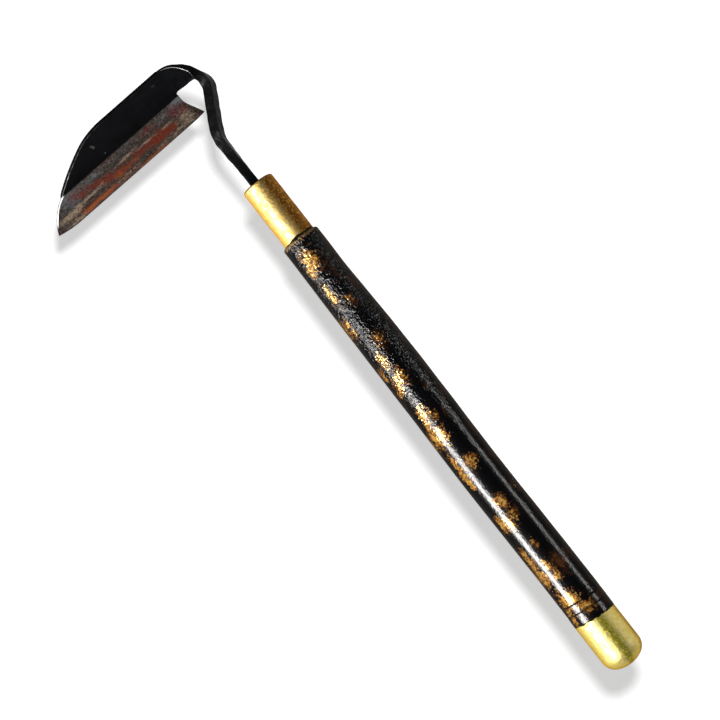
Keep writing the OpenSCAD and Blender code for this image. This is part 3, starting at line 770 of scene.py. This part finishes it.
def edgeAt(u):
    # the cutting edge draws back by a square law at the heel and at the toe
    heel = np.clip((blade["heelSpan"] - u) / blade["heelSpan"], 0, None)
    toe = np.clip((u - foldLength) / (toeFar - foldLength), 0, None)
    return soleWidth - blade["edgeHeel"] * heel ** 2 - blade["edgeToe"] * toe ** 2


def frontFace(u, q):
    # two straight flanks joined by a hyperbola at the fold, and the normal on the hollow side
    root = np.sqrt(q ** 2 + blade["foldRound"] ** 2)
    climb, drop = (root + q) / 2, (root - q) / 2
    climbRate, dropRate = (1 + q / root)[..., None] / 2, (1 - q / root)[..., None] / 2
    place = foldStart + u[..., None] * alongFold + climb[..., None] * webLine + drop[..., None] * soleLine
    slope = climbRate * webLine - dropRate * soleLine
    normal = np.cross(slope, alongFold)
    normal /= np.linalg.norm(normal, axis=-1, keepdims=True)
    return place, normal * np.sign((normal * (towardsHandle + upwards)).sum(-1, keepdims=True))


def pastToe(u, w):
    # how far beyond the inner line of the toe's bevel a point of the sole lies
    return np.hypot(u - toeCentre[0], w - toeCentre[1]) - toeInner


def groundAway(u, w):
    # depth taken off the sole: the edge's bevel and the toe's bevel
    edge = (w - soleWidth + blade["bevel"]) * bevelSlope
    toe = pastToe(u, w) * (u > toeCentre[0]) * ramp(w, 0, 0.6)
    return np.clip(np.maximum(edge, toe), 0, None)


# colours on the sole, and bright spots on the web: [u, w or q, half length, half width, turn, strength]
soleSpots = dict(
    pale=[[88, 3, 10, 3, 0, 0.6], [50, 3, 50, 2.2, 0, 0.35], [15, 3.5, 6, 2.5, 0, 0.55]],
    blue=[[5, 2, 5, 2.6, 10, 1.1], [1, 1.5, 3, 2.5, 0, 0.7], [93, 5, 6, 5, 0, 0.6],
          [72, 3, 6, 2.5, 0, 0.55]],
    plum=[[89, 4.5, 5, 2.5, 0, 0.8], [81, 6, 4, 2, 0, 0.7], [28, 3.6, 6, 2.2, 0, 0.95],
          [9, 5, 3.5, 3.5, 0, 0.8], [47, 8, 8, 1.1, 0, 0.7], [4, 8.5, 5, 3, 10, 0.9],
          [60, 1.5, 9, 1.2, 0, 0.4], [76, 8, 5, 1.5, 0, 0.6]],
    beige=[[101, 12.3, 5.5, 1.6, -4, 1.2], [94, 12, 6, 1.2, -4, 1.1], [83, 10.8, 9, 0.8, -2, 1.0],
           [70, 10, 6, 0.7, -1, 1.0], [50, 7.3, 7, 0.7, 4, 0.9], [33, 8.8, 8, 0.65, -3, 1.1],
           [20, 9.4, 6, 0.8, 4, 0.8], [8, 13, 8, 3.5, 10, 0.45], [3, 15.5, 6, 3, 10, 0.4],
           [96, 17, 6, 1.2, 0, 0.45], [55, 16, 12, 1, 0, 0.3], [20, 16.5, 10, 1.2, 0, 0.4]],
    red=[[72, 7.8, 8, 1.5, -1, 0.95], [57, 12, 9, 2.3, -3, 1.1], [40, 10.6, 6, 1.6, 0, 0.8],
         [26, 11.4, 9, 2.9, 3, 1.4], [16, 12.8, 5, 1.6, 5, 0.8], [85, 7.6, 3.5, 1.4, 0, 0.75],
         [67, 10.3, 5, 1.4, 0, 0.6]],
    orange=[[82, 16.2, 11, 1.6, -1, 0.85], [70, 16.6, 7, 1.4, 0, 0.75], [57, 12.8, 7, 1.6, -3, 0.75],
            [88, 17.4, 5, 0.7, 0, 0.7], [46, 17.9, 14, 0.6, 0, 0.75], [30, 18, 10, 0.5, 0, 0.75],
            [90, 14.5, 4, 1, 0, 0.5], [46, 12, 4, 1, 0, 0.6]],
    dark=[[-4, 17, 5, 3, 0, 0.7], [-2, 12, 3, 4, 0, 0.6], [36.5, 15.2, 4, 1.3, 0, 0.9],
          [88, 14.3, 6, 1, 0, 0.7], [112, 15, 4, 3, 0, 0.9], [56, 6, 4, 1, 0, 0.4],
          [108, 6, 5, 3, 0, 0.5]])
webSpots = [[60.5, 17, 1.2, 3.0, -20, 0.22], [57, 4.6, 0.45, 0.45, 0, 0.5], [9, 22, 2.5, 2, 0, 0.12]]


def bladeMarks(u, w, q):
    # marks in the order of the layers, for points at u along the fold and w from it on the sole
    onSole = ramp(w, 0, 0.5)
    marks = {label: patches(u, w, spots) * onSole for label, spots in soleSpots.items()}
    marks["dark"] = np.maximum(marks["dark"], 0.8 * ramp(w, edgeAt(u) - 0.7, 0.5) * onSole)
    toe = pastToe(u, w)
    ground = ramp(toe, 0, 0.3) * np.clip((blade["toeBevel"] - 0.1 - toe) / 0.2, 0.15, 1)
    ground *= (u > foldLength - 4) * ramp(w, 13.5, -3) * (w > 0.3)
    bright = np.maximum(ground, patches(u, q, webSpots) * (q > 0.5))
    return np.stack([onSole, *marks.values(), bright, 0 * u], -1)


def markedSlab(top, bottom, marks, rounding):
    # both faces carry the marks, but nothing on the back is bright
    under = marks.copy()
    under[..., brightColumn] = 0
    return slab(np.concatenate([top, marks], -1), np.concatenate([bottom, under], -1), rounding)


def makeBlade():
    # the web and the iron part of the sole as one bent plate, front face and back face
    columns = np.linspace(0, 1, 150)
    up = 1 - np.linspace(0, 1, 50)[:-1] ** 1.6
    shownCover = cover - blade["steelGap"]
    last = soleWidth - blade["bevel"] + shownCover / bevelSlope
    down = np.concatenate([np.linspace(0, steelFrom, 16), np.linspace(steelFrom + 0.03, last, 20)])
    rows = np.concatenate([up, -down])[:, None]
    w = np.clip(-rows, 0, None)
    radius = np.where(w > steelFrom + 0.01, toeInner + shownCover, toeShown)
    inner = toeU(w, toeInner)
    outer = np.where(rows > 0, foldLength, toeU(w, radius))
    extra = inner + (outer - inner) * toeColumns
    u = inner * columns
    q = np.where(rows > 0, rows * np.interp(u, outlineX, outlineY), rows)
    left = np.where(q > 0, blade["webStart"] * q / webWidth, np.interp(-q, heelY, heelX))
    u = np.concatenate([left + (inner - left) * columns, extra], 1)
    height = np.interp(u, outlineX, outlineY)
    q = np.where(rows > 0, rows * height, rows + 0 * u)
    w = np.clip(-q, 0, None)
    place, normal = frontFace(u, q)
    ripple = blade["webRipple"] * waves(place, 16, 31) * ramp(q, 0, 4) * ramp(u, 6, 10)
    ripple += blade["soleRipple"] * waves(place, 7, 32) * ramp(w, 0, 3)
    top = place - normal * (groundAway(u, w) - np.minimum(ripple, 0))[..., None]
    depth = np.where(w > steelFrom + 0.01, cover - 0.01, plate)
    bottom = place - normal * depth[..., None]
    # a bright line along the far curve's front edge: partly edge wear, partly a painted highlight
    marks = bladeMarks(u, w, q)
    distance = np.where(rows > 0, (1 - rows) * height, 9)
    worn = bell(distance, 0.75, 0.28) * np.clip((u - 40) / 45, 0.1, 1) * (0.55 + 0.25 * waves(place, 7, 40))
    marks[..., brightColumn] = np.maximum(marks[..., brightColumn], worn)
    sheets = makeNeck() + markedSlab(top, bottom, marks, blade["rounding"])
    addPiece("forged_blade", sheets, layerNames, forgedIron, "blade_forging")


def makeEdge():
    # the laid steel: a strip under the sole that the bevel lays open along the edge
    columns, part = np.linspace(0, 1, 150), np.linspace(0, 1, 40)[:, None]
    w = steelFrom + blade["steelWidth"] * part + 0 * columns
    # the edge's place depends on u and the ends of each row on w, so both are found in a few rounds
    for _ in range(4):
        inner, left = toeU(w, toeInner), np.interp(w, heelY, heelX)
        u = left + (inner - left) * columns
        w = steelFrom + (edgeAt(u) - steelFrom) * part
    w = np.concatenate([w] + [w[:, -1:]] * len(toeColumns), 1)
    for _ in range(4):
        inner, outer = toeU(w[:, -1:], toeInner), toeU(w[:, -1:], toeShown)
        u[:, -1:] = inner
        ends = inner + (outer - inner) * toeColumns
        w[:, -len(toeColumns):] = steelFrom + (edgeAt(ends) - steelFrom) * part
    u = np.concatenate([u, ends], 1)
    place, normal = frontFace(u, -w)
    top = place - normal * np.maximum(groundAway(u, w), cover)[..., None]
    sheets = markedSlab(top, place - normal * plate, bladeMarks(u, w, -w), blade["steelRounding"])
    addPiece("steel_edge", sheets, layerNames, edgeSteel, "edge_steel")


makeBlade()
makeEdge()

# Stage: floor, lamps and camera

stage = dict(floorDrop=80, floorHalf=8.0, whiteness=0.49, floorColour=0.62, world=0.30, skyHeights=(0.1, 0.7),
             skyLevels=(1.5, 0.55), shadowLamp=16.5, shadowSoft=0.12, shadowShift=(-11.8, 11.0),
             nearest=0.9, apart=0.02)
view = dict(place=np.array([0.0423, 0.0164, 1.258]), aim=np.array([0.1133, 0.0164, 0.0]),
            right=(-0.6147, -0.7888), lens=105, sensor=36, clipEnd=30)
# strips over the tool, tilted to the toe's side or, narrow, to the other: name, power, width, tilt, ends
# along X, the pieces it lights, and whether it gives them diffuse light or reflections
towards, away, rear, front = np.radians(56), np.radians(-65), -0.415, 0.535
onIron, onWood, onFerrule, onCap = (
    ["forged_blade", "steel_edge"], ["handle_wood"], ["brass_ferrule"], ["brass_cap"])
strips = [("woodGloss", 157, 0.30, towards, (rear, 0.08), onWood, False),
          ("frontGloss", 30, 0.30, towards, (0.08, front), onWood, False),
          ("brassGloss", 24, 0.24, towards - 0.07, (rear, front), onFerrule, False),
          ("capGloss", 24, 0.18, towards - 0.07, (rear, front), onCap, False),
          ("ironGloss", 40, 0.30, towards, (rear, front), onIron, False),
          ("woodRim", 19.5, 0.035, away, (rear, 0.20), onWood, False),
          ("capRim", 1.7, 0.25, away, (rear, front), onCap, False),
          ("key", 7.5, 0.42, towards, (rear, front), onIron + onWood + onFerrule + onCap, True),
          ("woodKey", 11, 0.42, towards, (rear, front), onWood, True)]


def facing(right, back, place):
    # the matrix of a lamp or camera from the directions of its own X and Z and its place
    columns = np.stack([right, np.cross(back, right), back, place], 1)
    return Matrix(np.vstack([columns, [0, 0, 0, 1]]).tolist())


def addLamp(name, power, size, back, place, lit, diffuse):
    # an area lamp that lights only the objects named
    lamp = bpy.data.lights.new(name, "AREA")
    lamp.energy, lamp.shape = power, "RECTANGLE"
    lamp.size, lamp.size_y = size
    item = addObject(name, lamp)
    item.matrix_world = facing((1.0, 0, 0), back, place)
    item.visible_camera, item.visible_glossy, item.visible_diffuse = False, not diffuse, diffuse
    item.light_linking.receiver_collection = bpy.data.collections.new(name + "Pieces")
    for piece in lit:
        item.light_linking.receiver_collection.objects.link(bpy.data.objects[piece])
    return lamp


def makeFloor(low):
    # paper that shows an even pale tone to the camera and takes the shadow
    mesh, half = bpy.data.meshes.new("floor"), stage["floorHalf"]
    corners = [(x * half, y * half, low) for x, y in ((-1, -1), (1, -1), (1, 1), (-1, 1))]
    mesh.from_pydata(corners, [], [(0, 1, 2, 3)])
    floor = addObject("floor", mesh)
    material, tree, shader = newMaterial(
        "floorPaper", Roughness=0.9, Base_Color=(*[stage["floorColour"]] * 3, 1), Specular_IOR_Level=0,
        Emission_Color=(1, 1, 1, 1))
    path = put(tree, "LightPath").outputs
    seen = mathOf(tree, "MAXIMUM", path["Is Camera Ray"], path["Is Glossy Ray"])
    seen = mathOf(tree, "MAXIMUM", seen, path["Is Transmission Ray"])
    drive(tree, shader, Emission_Strength=times(tree, seen, stage["whiteness"]))
    mesh.materials.append(material)


def makeSky():
    # white all round, brighter low down than overhead
    world = bpy.data.worlds.new("studio")
    bpy.context.scene.world = world
    world.use_nodes = True
    sky = world.node_tree
    height = put(sky, "SeparateXYZ", {0: put(sky, "TexCoord").outputs["Generated"]}).outputs["Z"]
    level = remap(sky, height, *stage["skyHeights"], *stage["skyLevels"])
    background = sky.nodes["Background"]
    sky.links.new(times(sky, level, stage["world"]), background.inputs["Strength"])
    background.inputs["Color"].default_value = (1, 1, 1, 1)


def makeLamps(low):
    # a disc beside the camera throws the same shadow for every part; the camera sees it shifted by
    # the disc's offset x the floor's depth / the disc's height over the floor
    offset = np.array(stage["shadowShift"]) * mm * (view["place"][2] - low) / low
    place = view["place"] + [*offset, 0]
    size = stage["shadowSoft"], stage["shadowSoft"]
    addLamp("shadowLamp", stage["shadowLamp"], size, (0, 0, 1), place, ["floor"], True).shape = "DISK"
    # each strip is a little farther off than the last, so that none hides another
    for n, (name, power, width, tilt, ends, lit, diffuse) in enumerate(strips):
        back = np.array([0, np.sin(tilt), np.cos(tilt)])
        place = back * (stage["nearest"] + stage["apart"] * n) + [sum(ends) / 2, 0, 0]
        addLamp(name, power, (ends[1] - ends[0], width), back, place, lit, diffuse)


def makeCamera():
    # over the tool, aimed slightly forward, with the photo's upper left along the handle
    back = view["place"] - view["aim"]
    back /= np.linalg.norm(back)
    alongX, alongY = view["right"]
    right = np.array([alongX * back[2], alongY, -alongX * back[0]])
    right -= back * (right @ back)
    right /= np.linalg.norm(right)
    lens = bpy.data.cameras.new("photoCamera")
    lens.lens, lens.sensor_width, lens.sensor_fit = view["lens"], view["sensor"], "HORIZONTAL"
    lens.clip_end = view["clipEnd"]
    camera = addObject("photoCamera", lens)
    camera.matrix_world = facing(right, back, view["place"])
    bpy.context.scene.camera = camera


floorLevel = cadBox[0][2] - stage["floorDrop"] * mm
makeFloor(floorLevel)
makeSky()
makeLamps(floorLevel)
makeCamera()
bpy.context.scene.view_settings.view_transform = "Standard"
print("stage ready")
